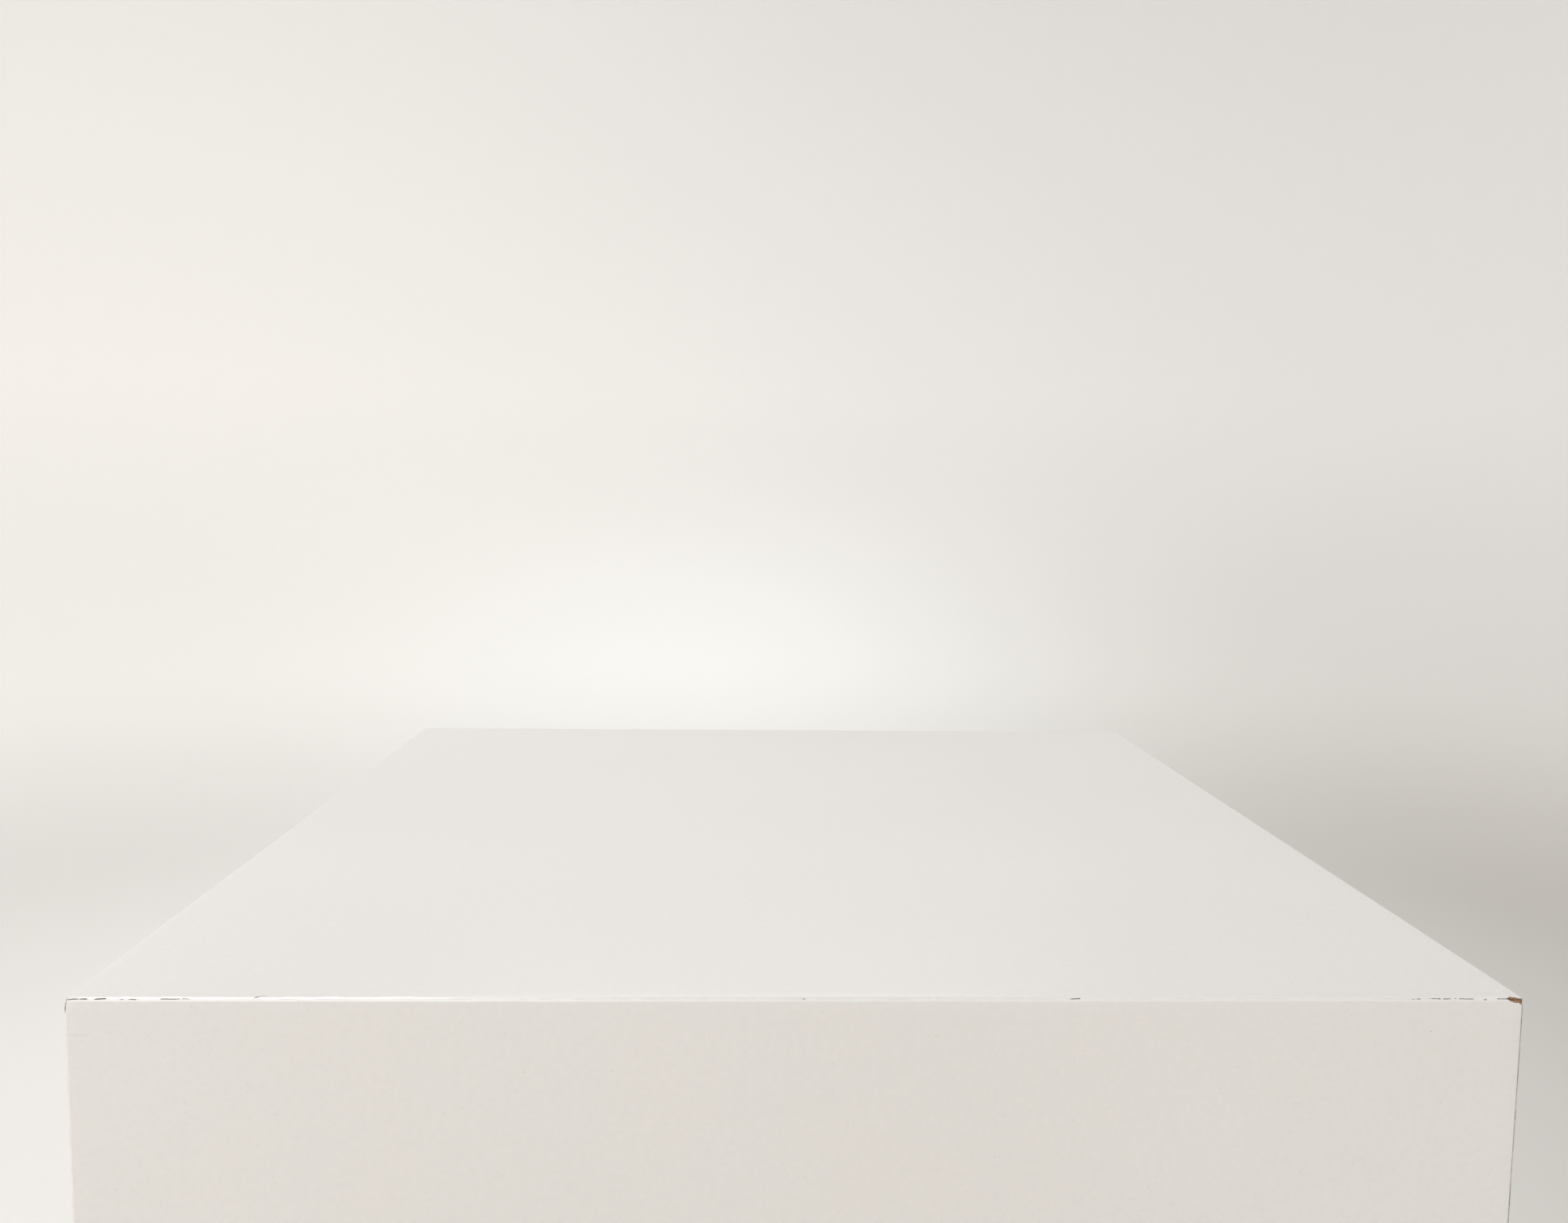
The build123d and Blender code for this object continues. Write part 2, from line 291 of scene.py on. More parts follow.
def eased_face(flat, half_s, low_t, high_t):
    """Places and outward directions on a board's eased outer face, from the face unrolled flat. Within
    the arris of an edge, the unrolled distance over the radius is the angle turned; with a and b those
    angles across and up, the direction is (tan a cos b, sin b, cos b) made one long, and the place is
    the ball of the arris's radius, rolled inside the face's box, touched in that direction."""
    core_u = np.clip(flat[:, 0], -half_s + arris, half_s - arris)
    core_v = np.clip(flat[:, 1], low_t + arris, high_t - arris)
    a = (flat[:, 0] - core_u) / arris
    b = (flat[:, 1] - core_v) / arris
    out = np.column_stack([np.tan(a) * np.cos(b), np.sin(b), np.cos(b)])
    out /= np.linalg.norm(out, axis=1)[:, None]
    core = np.column_stack([core_u, core_v, np.full(len(flat), -arris)])
    return core + arris * out, out


def painted_board(name):
    """One board as a closed mesh. Rings run round its unrolled outer face from the seam inwards, their
    points halving in number four times, and a plain grid fills the middle. Behind the first ring, four
    more halving rings cross the mitres and the square foot to the inner face, which is a grid too."""
    origin, across, up, half_s, low_t, high_t, square_foot = BOARDS[name]
    turned = arris * math.pi / 4
    foot_turned = 2 * turned if square_foot else turned
    edge_u = half_s - arris + turned
    edge_low = low_t + arris - foot_turned
    edge_high = high_t - arris + turned
    lines_t = lines_up if square_foot else lines_across
    shares_u = crowded(lines_across, 2 * half_s)
    shares_v = crowded(lines_t, high_t - low_t)

    insets = list(np.linspace(0, turned, arris_rows + 1))
    insets += list(turned + np.cumsum(band_steps_mm) * MM)
    steps = [1] * len(insets)
    for step_mm in halving_steps_mm:
        insets.append(insets[-1] + step_mm * MM)
        steps.append(steps[-1] * 2)

    flat, rings, count = [], [], 0
    for inset, step in zip(insets, steps):
        ring = rectangle(edge_u - inset, edge_low + inset, edge_high - inset,
                         shares_u[::step], shares_v[::step])
        rings.append(count + np.arange(len(ring)))
        flat.append(ring)
        count += len(ring)
    last = steps[-1]
    inner_u = (edge_u - insets[-1]) * (2 * shares_u[::last][1:-1] - 1)
    inner_v = edge_low + insets[-1] + (edge_high - edge_low - 2 * insets[-1]) * shares_v[::last][1:-1]
    middle = lattice(rings[-1], lines_across // last, lines_t // last, count)
    flat.append(np.stack(np.meshgrid(inner_u, inner_v), axis=-1).reshape(-1, 2))
    flat = np.concatenate(flat)
    outside, out = eased_face(flat, half_s, low_t, high_t)
    to_world = np.array([across, up, np.cross(across, up)])
    points = origin + outside @ to_world
    directions = out @ to_world

    # Distance to the nearest mitre, which closes up where the ends of the square foot's rounding meet.
    to_side = edge_u - np.abs(flat[:, 0])
    to_side = np.maximum(to_side - turned, 0) + np.minimum(to_side, turned) * out[:, 2].clip(0, 1)
    to_high = edge_high - flat[:, 1]
    to_low = flat[:, 1] - edge_low
    seam = np.minimum.reduce([to_side, to_high] + ([] if square_foot else [to_low]))
    # The seam's own side: the top, and the sides along an upright seam, count as positive.
    upright = (to_side < to_high) & (name in ("left_panel", "right_panel"))
    side = np.where(upright | (not square_foot), 1, -1)
    near_edge = 1 - ramp(np.minimum(seam, to_low), turned, turned + 2.5 * MM)
    cracks = seam_cracks(points)
    crack_mm = seam / MM
    chip = np.full(len(flat), -1.0)
    dig = flattened_arris(points, directions) + edge_waver(points, near_edge) + corner_wear(points)
    dig += crack_depth * np.minimum(cracks, 1) * np.exp(-((crack_mm / crack_half_mm) ** 2))
    if name in ("front_panel", "top_panel"):
        along_mm = (points[:, 0] + width / 2) / MM
        below_mm = (to_high if name == "front_panel" else -to_low) / MM
        rough = smooth_noise(points, 0.9 * MM, 31) + 0.5 * smooth_noise(points, 0.45 * MM, 32) - 0.75
        chip = oval_field(along_mm, below_mm, chip_ovals_mm) + chip_edge_roughness * rough
        pit = oval_field(along_mm, below_mm, (pit_mm,))
        dig += chip_depth * ramp(chip, 0, 0.45) * (0.75 + 0.5 * smooth_noise(points, 0.7 * MM, 33))
        dig += pit_depth * ramp(pit, 0, 0.6)
        chip = np.clip(chip, -1, 1)
        in_pit = ramp(pit, -0.2, 0.3)
        cracks = np.maximum(cracks, 3 * in_pit)
        crack_mm = crack_mm * (1 - in_pit)
    points = points - directions * dig[:, None]

    faces = [ring_faces(a, b) for a, b in zip(rings, rings[1:])] + [grid_faces(middle)]
    wall_points, wall_faces = board_back(rings[0], points[rings[0]], name, to_world, origin,
                                         shares_u, shares_v, len(points))
    return make_mesh(
        name + "_painted",
        np.concatenate([points, wall_points]),
        faces,
        wall_faces,
        {"crack_mm": crack_mm, "seam_side": side, "crack": cracks, "chip": chip},
    )


def board_back(first_ring, first_points, name, to_world, origin, shares_u, shares_v, count):
    """The mitres, the square foot and the flat inner face: straight lines from the first ring to the
    edge of the inner face, halving four times on the way, then a grid."""
    half_s, low_t, high_t, square_foot = BOARDS[name][3:]
    halvings = len(halving_steps_mm)
    last = 2 ** halvings
    low = low_t if square_foot else low_t + board_thickness
    edge = rectangle(half_s - board_thickness, low, high_t - board_thickness, shares_u, shares_v)
    edge = np.column_stack([edge, np.full(len(edge), -board_thickness)])
    edge = origin + edge @ to_world
    new_points, faces, outer = [], [], first_ring
    for level in range(1, halvings + 1):
        step = 2 ** level
        share = level / halvings
        ring = (1 - share) * first_points[::step] + share * edge[::step]
        inner = count + np.arange(len(ring))
        faces.append(ring_faces(outer, inner)[:, ::-1])
        new_points.append(ring)
        outer = inner
        count += len(ring)
    across, up = (len(shares_u) - 1) // last, (len(shares_v) - 1) // last
    grid = lattice(outer, across, up, count)
    u = (half_s - board_thickness) * (2 * shares_u[::last][1:-1] - 1)
    v = low + (high_t - board_thickness - low) * shares_v[::last][1:-1]
    flat = np.stack(np.meshgrid(u, v), axis=-1).reshape(-1, 2)
    flat = np.column_stack([flat, np.full(len(flat), -board_thickness)])
    new_points.append(origin + flat @ to_world)
    faces.append(grid_faces(grid)[:, ::-1])
    return np.concatenate(new_points), faces


def make_mesh(name, points, faces, back_faces=(), values=None):
    """A smooth-shaded mesh object at the origin. back_faces take the second material. Points that
    fall on one another, as at the feet of the mitres, are merged."""
    listed = [face for block in faces for face in block.tolist()]
    front_count = len(listed)
    listed += [face for block in back_faces for face in block.tolist()]
    mesh = bpy.data.meshes.new(name)
    mesh.from_pydata(points.tolist(), [], listed)
    slots = np.zeros(len(listed), np.int32)
    slots[front_count:] = 1
    mesh.polygons.foreach_set("material_index", slots)
    for label, value in (values or {}).items():
        padded = np.zeros(len(points), np.float32)
        padded[:len(value)] = value
        mesh.attributes.new(label, "FLOAT", "POINT").data.foreach_set("value", padded)
    work = bmesh.new()
    work.from_mesh(mesh)
    bmesh.ops.remove_doubles(work, verts=work.verts, dist=1e-7)
    work.to_mesh(mesh)
    work.free()
    mesh.shade_smooth()
    mesh.set_sharp_from_angle(angle=math.radians(40))
    piece = bpy.data.objects.new(name, mesh)
    bpy.context.scene.collection.objects.link(piece)
    return piece


# ---- Levelling feet ----
thread_pitch = 1.5 * MM
thread_depth = 0.9 * MM
thread_columns = 36
ribs = 28
rib_depth = 0.35 * MM
rows_per_turn = 10


def tube(name, radii, heights, middle):
    """A closed shell of revolution-like rows: radii holds one row of distances from the axis for each
    height, and each end is closed by a point on the axis."""
    rows, columns = radii.shape
    angle = np.linspace(0, 2 * math.pi, columns, endpoint=False)
    side = np.stack([radii * np.cos(angle), radii * np.sin(angle), np.repeat(heights[:, None], columns, 1)],
                    axis=-1).reshape(-1, 3)
    ends = np.array([[0, 0, heights[0]], [0, 0, heights[-1]]])
    points = np.concatenate([side, ends]) + np.array(middle)
    ring = np.arange(columns)
    around = np.roll(ring, -1)
    base = np.arange(rows - 1)[:, None] * columns
    walls = np.stack([base + ring, base + around, base + columns + around, base + columns + ring], axis=-1)
    under = np.column_stack([around, ring, np.full(columns, rows * columns)])
    over_base = (rows - 1) * columns
    over = np.column_stack([over_base + ring, over_base + around, np.full(columns, rows * columns + 1)])
    return make_mesh(name, points, [walls.reshape(-1, 4), under, over])


def threaded_stud(name, low, high, middle):
    """The stud's thread: its radius is the full one less the thread's depth times a triangle wave of
    height over pitch less angle over a full turn, and never more than a cone at its top end allows."""
    length = high - low
    rows = int(length / thread_pitch * rows_per_turn)
    heights = np.linspace(low, high, rows)
    angle = np.linspace(0, 2 * math.pi, thread_columns, endpoint=False)
    phase = (heights[:, None] / thread_pitch - angle[None, :] / (2 * math.pi)) % 1
    wave = np.clip(np.abs(2 * phase - 1) * 1.25 - 0.125, 0, 1)
    full = stud_radius - thread_depth * wave
    cone = (high - heights)[:, None] + stud_radius - 1.2 * MM
    return tube(name, np.minimum(full, cone), heights, middle)


def spanner_hex(name, low, high, middle, across_flats):
    """A hexagon with its corners turned off: the distance to the flats over the cosine of the angle
    from the nearest flat, and never more than a 30 degree cone at either end allows."""
    heights = low + (high - low) * np.array([0, 0.06, 0.12, 0.2, 0.5, 0.8, 0.88, 0.94, 1])
    angle = np.linspace(0, 2 * math.pi, 72, endpoint=False)
    off_flat = (angle - math.pi / 2 + math.pi / 6) % (math.pi / 3) - math.pi / 6
    flats = across_flats / 2 / np.cos(off_flat)
    to_end = np.minimum(heights - low, high - heights)
    cone = across_flats / 2 * 0.97 + to_end / math.tan(math.radians(30))
    return tube(name, np.minimum(flats[None, :], cone[:, None]), heights, middle)


def ribbed_pad(name, radius, height, boss, bore, seat, middle):
    """A moulded foot: an outline turned about its axis, its rim scalloped by a cosine of 28 ribs, up
    over a sloping skirt to the boss and down into the socket that the stud sits in."""
    outline_mm = np.array([
        (radius / MM - 1.2, 0.0), (radius / MM - 0.6, 0.15), (radius / MM - 0.15, 0.6), (radius / MM, 1.1),
        (radius / MM, 3.3), (radius / MM - 0.15, 3.8), (radius / MM - 0.6, 4.1), (boss / MM + 1.2, 8.1),
        (boss / MM + 0.4, 8.6), (boss / MM, height / MM - 0.15), (boss / MM - 0.4, height / MM),
        (bore / MM + 0.5, height / MM), (bore / MM, height / MM - 0.5), (bore / MM, seat / MM),
    ])
    angle = np.linspace(0, 2 * math.pi, ribs * 10, endpoint=False)
    scallop = rib_depth * (0.5 - 0.5 * np.cos(ribs * angle)) ** 2
    rim = np.exp(-(((outline_mm[:, 1] - 2.2) / 1.3) ** 4)) * (outline_mm[:, 0] > boss / MM + 2)
    radii = outline_mm[:, :1] * MM - rim[:, None] * scallop[None, :]
    return tube(name, radii, outline_mm[:, 1] * MM, middle)


# ---- Shader nodes ----
def put(tree, kind, inputs=None, **settings):
    """Adds a node, sets its settings, and sets or links its inputs."""
    made = tree.nodes.new(kind)
    for key, value in settings.items():
        setattr(made, key, value)
    for key, value in (inputs or {}).items():
        if isinstance(value, bpy.types.NodeSocket):
            tree.links.new(value, made.inputs[key])
        else:
            made.inputs[key].default_value = value
    return made


def maths(tree, operation, first, second=0.0, third=0.0):
    """The output of a Math node."""
    return put(tree, "ShaderNodeMath", {0: first, 1: second, 2: third}, operation=operation).outputs[0]


def spread(tree, value, low, high, to_low=0.0, to_high=1.0):
    """value from low..high moved smoothly to to_low..to_high, and held at the ends."""
    inputs = {"Value": value, "From Min": low, "From Max": high, "To Min": to_low, "To Max": to_high}
    return put(tree, "ShaderNodeMapRange", inputs, interpolation_type="SMOOTHSTEP").outputs["Result"]


def blended(tree, share, first, second, mode="MIX"):
    """The colour of a Mix node: first where share is 0, second where it is 1."""
    made = put(tree, "ShaderNodeMix", {"Factor": share}, data_type="RGBA", blend_type=mode)
    for slot, colour in ((6, first), (7, second)):
        if isinstance(colour, bpy.types.NodeSocket):
            tree.links.new(colour, made.inputs[slot])
        else:
            made.inputs[slot].default_value = (*colour, 1)
    return made.outputs[2]


def noise(tree, vector, cell, detail=2.0, roughness=0.5):
    """Noise whose features are about `cell` metres across."""
    inputs = {"Vector": vector, "Scale": 1 / cell, "Detail": detail, "Roughness": roughness}
    return put(tree, "ShaderNodeTexNoise", inputs).outputs["Fac"]


def new_group(name, inputs, outputs):
    """An empty shader group with the named inputs and outputs, each (name, kind, default)."""
    group = bpy.data.node_groups.new(name, "ShaderNodeTree")
    for label, kind, default in inputs:
        socket = group.interface.new_socket(label, in_out="INPUT", socket_type=f"NodeSocket{kind}")
        if default is not None:
            socket.default_value = default
    for label, kind in outputs:
        group.interface.new_socket(label, in_out="OUTPUT", socket_type=f"NodeSocket{kind}")
    entry = group.nodes.new("NodeGroupInput").outputs
    leave = group.nodes.new("NodeGroupOutput").inputs
    return group, entry, leave


def roller_stipple_group():
    """The orange peel that a short-pile roller leaves: fine noise, broader lumps and a few dust nibs,
    as a height in millimetres."""
    group, entry, leave = new_group(
        "roller_stipple",
        [("Position", "Vector", None), ("Peel", "Float", 0.01), ("Lumps", "Float", 0.01),
         ("Nibs", "Float", 0.05)],
        [("Height", "Float"), ("Nib", "Float"), ("Fleck", "Float")],
    )
    peel = maths(group, "SUBTRACT", noise(group, entry["Position"], 0.0016, 3, 0.6), 0.5)
    lumps = maths(group, "SUBTRACT", noise(group, entry["Position"], 0.011, 1), 0.5)
    cells = put(group, "ShaderNodeTexVoronoi", {"Vector": entry["Position"], "Scale": 1 / 0.003})
    nib = spread(group, cells.outputs["Distance"], 0.05, 0.17, 1.0, 0.0)
    tinted = put(group, "ShaderNodeSeparateColor", {"Color": cells.outputs["Color"]})
    nib = maths(group, "MULTIPLY", nib, spread(group, tinted.outputs[0], 0.5, 1.0))
    fleck = spread(group, cells.outputs["Distance"], 0.04, 0.12, 1.0, 0.0)
    fleck = maths(group, "MULTIPLY", fleck, maths(group, "GREATER_THAN", tinted.outputs[1], 0.985))
    height = maths(group, "MULTIPLY", peel, entry["Peel"])
    height = maths(group, "MULTIPLY_ADD", lumps, entry["Lumps"], height)
    height = maths(group, "MULTIPLY_ADD", nib, entry["Nibs"], height)
    group.links.new(height, leave["Height"])
    group.links.new(nib, leave["Nib"])
    group.links.new(fleck, leave["Fleck"])
    return group


def paint_loss_group():
    """Where the paint has gone. Bare is bare board inside a chip. Dirt is the dark line of a crack,
    which wanders a little either side of the seam, the rim of a chip, and a faint hairline all along
    the seam. Seam side is 1 on one board and -1 on its neighbour, so the line runs on across the
    seam. Noise finer than the mesh cuts them ragged."""
    group, entry, leave = new_group(
        "paint_loss",
        [("Position", "Vector", None), ("Crack mm", "Float", 5.0), ("Seam side", "Float", 1.0),
         ("Crack", "Float", 0.0), ("Chip", "Float", -1.0), ("Half width mm", "Float", 0.17),
         ("Wander mm", "Float", 0.5)],
        [("Bare", "Float"), ("Dirt", "Float")],
    )
    ragged = maths(group, "SUBTRACT", noise(group, entry["Position"], 0.0007, 2, 0.6), 0.5)
    broken = maths(group, "SUBTRACT", noise(group, entry["Position"], 0.0010, 3, 0.65), 0.5)
    sway = maths(group, "SUBTRACT", noise(group, entry["Position"], 0.0045, 2), 0.5)
    wander = maths(group, "MULTIPLY", maths(group, "MULTIPLY", entry["Wander mm"], 2.0), entry["Seam side"])
    centre = maths(group, "MULTIPLY_ADD", sway, wander, entry["Crack mm"])
    away = maths(group, "ABSOLUTE", centre)
    strength = maths(group, "MULTIPLY_ADD", broken, 2.1, entry["Crack"])
    widening = maths(group, "MULTIPLY_ADD", strength, 0.9, 0.35)
    reach = maths(group, "MULTIPLY", entry["Half width mm"], widening)
    reach = maths(group, "MAXIMUM", reach, 0.03)
    away = maths(group, "MULTIPLY_ADD", ragged, 0.28, away)
    line = spread(group, maths(group, "DIVIDE", away, reach), 0.5, 1.3, 1.0, 0.0)
    dirt = maths(group, "MULTIPLY", line, spread(group, strength, 0.34, 0.62))
    hairline = spread(group, entry["Crack mm"], 0.03, 0.13, 0.22, 0.0)
    patchy = spread(group, noise(group, entry["Position"], 0.009, 3, 0.6), 0.46, 0.6)
    dirt = maths(group, "MAXIMUM", dirt, maths(group, "MULTIPLY", hairline, patchy))
    chip = maths(group, "MULTIPLY_ADD", ragged, 0.35, entry["Chip"])
    bare = spread(group, chip, -0.02, 0.05)
    rim_inside = spread(group, chip, 0.02, 0.2, 1.0, 0.0)
    rim = maths(group, "MULTIPLY", spread(group, chip, -0.08, 0.02), rim_inside)
    group.links.new(bare, leave["Bare"])
    group.links.new(maths(group, "MAXIMUM", dirt, maths(group, "MULTIPLY", rim, 0.5)), leave["Dirt"])
    return group


def stroke_group():
    """A short scratch or dent: 1 on a straight stroke across two axes given in metres, 0 a half width
    away from it and beyond its ends."""
    group, entry, leave = new_group(
        "stroke",
        [("Along", "Float", 0.0), ("Across", "Float", 0.0), ("Start", "Float", 0.0), ("End", "Float", 0.01),
         ("Across start", "Float", 0.0), ("Across end", "Float", 0.0), ("Half width", "Float", 0.0002)],
        [("Mask", "Float")],
    )
    inputs = {"Value": entry["Along"], "From Min": entry["Start"], "From Max": entry["End"],
              "To Min": 0.0, "To Max": 1.0}
    share = put(group, "ShaderNodeMapRange", inputs, clamp=False).outputs["Result"]
    rise = maths(group, "SUBTRACT", entry["Across end"], entry["Across start"])
    line = maths(group, "MULTIPLY_ADD", share, rise, entry["Across start"])
    away = maths(group, "ABSOLUTE", maths(group, "SUBTRACT", entry["Across"], line))
    near = spread(group, maths(group, "DIVIDE", away, entry["Half width"]), 0.0, 1.0, 1.0, 0.0)
    from_middle = maths(group, "ABSOLUTE", maths(group, "SUBTRACT", share, 0.5))
    within = spread(group, from_middle, 0.25, 0.5, 1.0, 0.0)
    group.links.new(maths(group, "MULTIPLY", near, within), leave["Mask"])
    return group


def fibreboard_group():
    """Bare fibreboard: tan, mottled by fine fibres, with the odd darker one."""
    group, entry, leave = new_group(
        "fibreboard",
        [("Position", "Vector", None)],
        [("Color", "Color"), ("Height", "Float")],
    )
    drawn = put(group, "ShaderNodeMapping", {"Vector": entry["Position"], "Scale": (0.4, 0.4, 1)})
    fine = spread(group, noise(group, drawn.outputs[0], 0.0005, 4, 0.75), 0.25, 0.75)
    broad = noise(group, entry["Position"], 0.02, 2)
    colour = blended(group, fine, (0.22, 0.115, 0.055), (0.68, 0.43, 0.26))
    colour = blended(group, spread(group, broad, 0.3, 0.7, 0.0, 0.35), colour, (0.44, 0.28, 0.16))
    group.links.new(colour, leave["Color"])
    group.links.new(fine, leave["Height"])
    return group


def softwood_group():
    """Planed softwood with its grain along Z: growth rings as noise-bent distances from a pith line
    outside the stick, darker towards the end of each year, and fine pores drawn out along the grain."""
    group, entry, leave = new_group(
        "softwood",
        [("Position", "Vector", None), ("Ring", "Float", 0.003), ("Early", "Color", None),
         ("Late", "Color", None)],
        [("Color", "Color"), ("Height", "Float")],
    )
    drawn = put(group, "ShaderNodeMapping", {"Vector": entry["Position"], "Scale": (1, 1, 0.06)})
    bend = maths(group, "SUBTRACT", noise(group, drawn.outputs[0], 0.03, 2), 0.5)
    flat = put(group, "ShaderNodeVectorMath", {0: entry["Position"], 1: (1, 1, 0)}, operation="MULTIPLY")
    ends = {0: flat.outputs[0], 1: (0.05, 0.37, 0)}
    pith = put(group, "ShaderNodeVectorMath", ends, operation="DISTANCE")
    rings = maths(group, "DIVIDE", pith.outputs["Value"], entry["Ring"])
    rings = maths(group, "MULTIPLY_ADD", bend, 2.2, rings)
    year = maths(group, "FRACT", rings)
    late = maths(group, "POWER", year, 3.0)
    colour = blended(group, late, entry["Early"], entry["Late"])
    drawn_fine = put(group, "ShaderNodeMapping", {"Vector": entry["Position"], "Scale": (1, 1, 0.03)})
    pores = noise(group, drawn_fine.outputs[0], 0.0005, 2)
    colour = blended(group, spread(group, pores, 0.35, 0.75, 0.0, 0.25), colour, (0.32, 0.19, 0.10))
    group.links.new(colour, leave["Color"])
    group.links.new(maths(group, "ADD", maths(group, "MULTIPLY", late, 0.5), pores), leave["Height"])
    return group


ROLLER_STIPPLE = roller_stipple_group()
PAINT_LOSS = paint_loss_group()
STROKE = stroke_group()
FIBREBOARD = fibreboard_group()
SOFTWOOD = softwood_group()


def new_material(name, roughness, metallic=0.0):
    """A material with one Principled shader; gives back the material, its tree, the shader and the
    object position."""
    material = bpy.data.materials.new(name)
    material.use_nodes = True
    tree = material.node_tree
    shader = tree.nodes["Principled BSDF"]
    shader.inputs["Roughness"].default_value = roughness
    shader.inputs["Metallic"].default_value = metallic
    place = put(tree, "ShaderNodeTexCoord").outputs["Object"]
    return material, tree, shader, place


def group_node(tree, group, inputs):
    """Places a node group, sets or links its inputs, and gives back its outputs."""
    return put(tree, "ShaderNodeGroup", inputs, node_tree=group).outputs


def raise_bumps(tree, shader, height, distance=MM, strength=1.0):
    """Feeds a height in units of `distance` to the shader as a bump."""
    inputs = {"Height": height, "Distance": distance, "Strength": strength}
    bump = put(tree, "ShaderNodeBump", inputs)
    tree.links.new(bump.outputs[0], shader.inputs["Normal"])


white_low = (0.815, 0.792, 0.762)
white_high = (0.845, 0.826, 0.796)
white_warm = (0.828, 0.796, 0.770)
# The next colour is a painted highlight for the eased edges.
white_painted_highlight = (0.895, 0.880, 0.855)


def roller_paint(name, peel, lumps, gloss_low, gloss_high, strokes=()):
    """White satin paint over fibreboard, with its roller stipple, slow changes of white, uneven
    gloss, a painted highlight along the eased edges, and the losses that the mesh's crack and chip values
    place. Each stroke is its two axes, its ends along and across in metres, its half width, how dark it is
    and its depth in millimetres."""
    material, tree, shader, place = new_material(name, 0.4)
    values = {
        label: put(tree, "ShaderNodeAttribute", attribute_name=label).outputs["Fac"]
        for label in ("crack_mm", "seam_side", "crack", "chip")
    }
    loss = group_node(tree, PAINT_LOSS, {
        "Position": place, "Crack mm": values["crack_mm"], "Seam side": values["seam_side"],
        "Crack": values["crack"], "Chip": values["chip"],
    })
    stipple = group_node(tree, ROLLER_STIPPLE, {"Position": place, "Peel": peel, "Lumps": lumps})
    board = group_node(tree, FIBREBOARD, {"Position": place})

    slow = noise(tree, place, 0.35, 2)
    blotch = noise(tree, place, 0.045, 2)
    mottle = noise(tree, place, 0.0025, 3, 0.6)
    white = blended(tree, spread(tree, slow, 0.3, 0.7), white_low, white_high)
    white = blended(tree, spread(tree, blotch, 0.35, 0.65, 0.0, 0.35), white, white_warm)
    white = blended(tree, spread(tree, mottle, 0.3, 0.7, 0.0, 0.08), white, (0.60, 0.57, 0.53))
    # Painted highlight: within about a millimetre of the seam the eased edge is lightened towards a paler
    # white, and it is also made a little glossier.
    rubbed_gloss_and_highlight = spread(tree, values["crack_mm"], 0.95, 1.25, 1.0, 0.0)
    white = blended(tree, maths(tree, "MULTIPLY", rubbed_gloss_and_highlight, 0.3), white, white_painted_highlight)
    white = blended(tree, maths(tree, "MULTIPLY", stipple["Nib"], 0.18), white, (0.50, 0.47, 0.43))
    white = blended(tree, maths(tree, "MULTIPLY", stipple["Fleck"], 0.30), white, (0.30, 0.27, 0.24))
    dented = stipple["Height"]
    axes = put(tree, "ShaderNodeSeparateXYZ", {"Vector": place}).outputs
    for (along, across), start, end, low, high, half, darkness, depth_mm in strokes:
        mask = group_node(tree, STROKE, {
            "Along": axes[along], "Across": axes[across], "Start": start, "End": end,
            "Across start": low, "Across end": high, "Half width": half,
        })["Mask"]
        white = blended(tree, maths(tree, "MULTIPLY", mask, darkness), white, (0.12, 0.10, 0.085))
        dented = maths(tree, "MULTIPLY_ADD", mask, -depth_mm, dented)
    colour = blended(tree, loss["Bare"], white, board["Color"])
    colour = blended(tree, maths(tree, "MULTIPLY", loss["Dirt"], 0.96), colour, (0.060, 0.048, 0.040))
    tree.links.new(colour, shader.inputs["Base Color"])

    gloss = spread(tree, noise(tree, place, 0.12, 3), 0.3, 0.7, gloss_low, gloss_high)
    gloss = maths(tree, "MULTIPLY_ADD", rubbed_gloss_and_highlight, -0.10, gloss)
    worn = maths(tree, "MAXIMUM", loss["Bare"], loss["Dirt"])
    gloss = maths(tree, "MULTIPLY_ADD", worn, maths(tree, "SUBTRACT", 0.9, gloss), gloss)
    tree.links.new(gloss, shader.inputs["Roughness"])

    film = maths(tree, "SUBTRACT", 1.0, worn)
    height = maths(tree, "MULTIPLY", dented, film)
    height = maths(tree, "MULTIPLY_ADD", film, 0.10, height)
    bare_grain = maths(tree, "MULTIPLY", board["Height"], loss["Bare"])
    height = maths(tree, "MULTIPLY_ADD", bare_grain, 0.3, height)
    raise_bumps(tree, shader, height)
    return material


def bare_fibreboard():
    """The unpainted backs and mitres of the boards."""
    material, tree, shader, place = new_material("bare_fibreboard", 0.9)
    board = group_node(tree, FIBREBOARD, {"Position": place})
    tree.links.new(board["Color"], shader.inputs["Base Color"])
    raise_bumps(tree, shader, board["Height"], 0.05 * MM)
    return material


def planed_wood(name, turn, early, late, ring=0.0032):
    """Unfinished wood whose grain lies along Z after the position is turned."""
    material, tree, shader, place = new_material(name, 0.62)
    turned = put(tree, "ShaderNodeMapping", {"Vector": place, "Rotation": turn})
    wood = group_node(tree, SOFTWOOD, {"Position": turned.outputs[0], "Ring": ring,
                                       "Early": (*early, 1), "Late": (*late, 1)})
    tree.links.new(wood["Color"], shader.inputs["Base Color"])
    raise_bumps(tree, shader, wood["Height"], 0.05 * MM)
    return material


def zinc_plate():
    """Bright zinc plating: pale grey metal, clouded, with fine random scuffs in its gloss."""
    material, tree, shader, place = new_material("zinc_plate", 0.3, 1.0)
    cloud = noise(tree, place, 0.004, 3)
    colour = blended(tree, cloud, (0.56, 0.57, 0.58), (0.74, 0.74, 0.73))
    tree.links.new(colour, shader.inputs["Base Color"])
    tree.links.new(spread(tree, noise(tree, place, 0.0012, 4, 0.7), 0.3, 0.7, 0.24, 0.5),
                   shader.inputs["Roughness"])
    raise_bumps(tree, shader, cloud, 0.01 * MM)
    return material


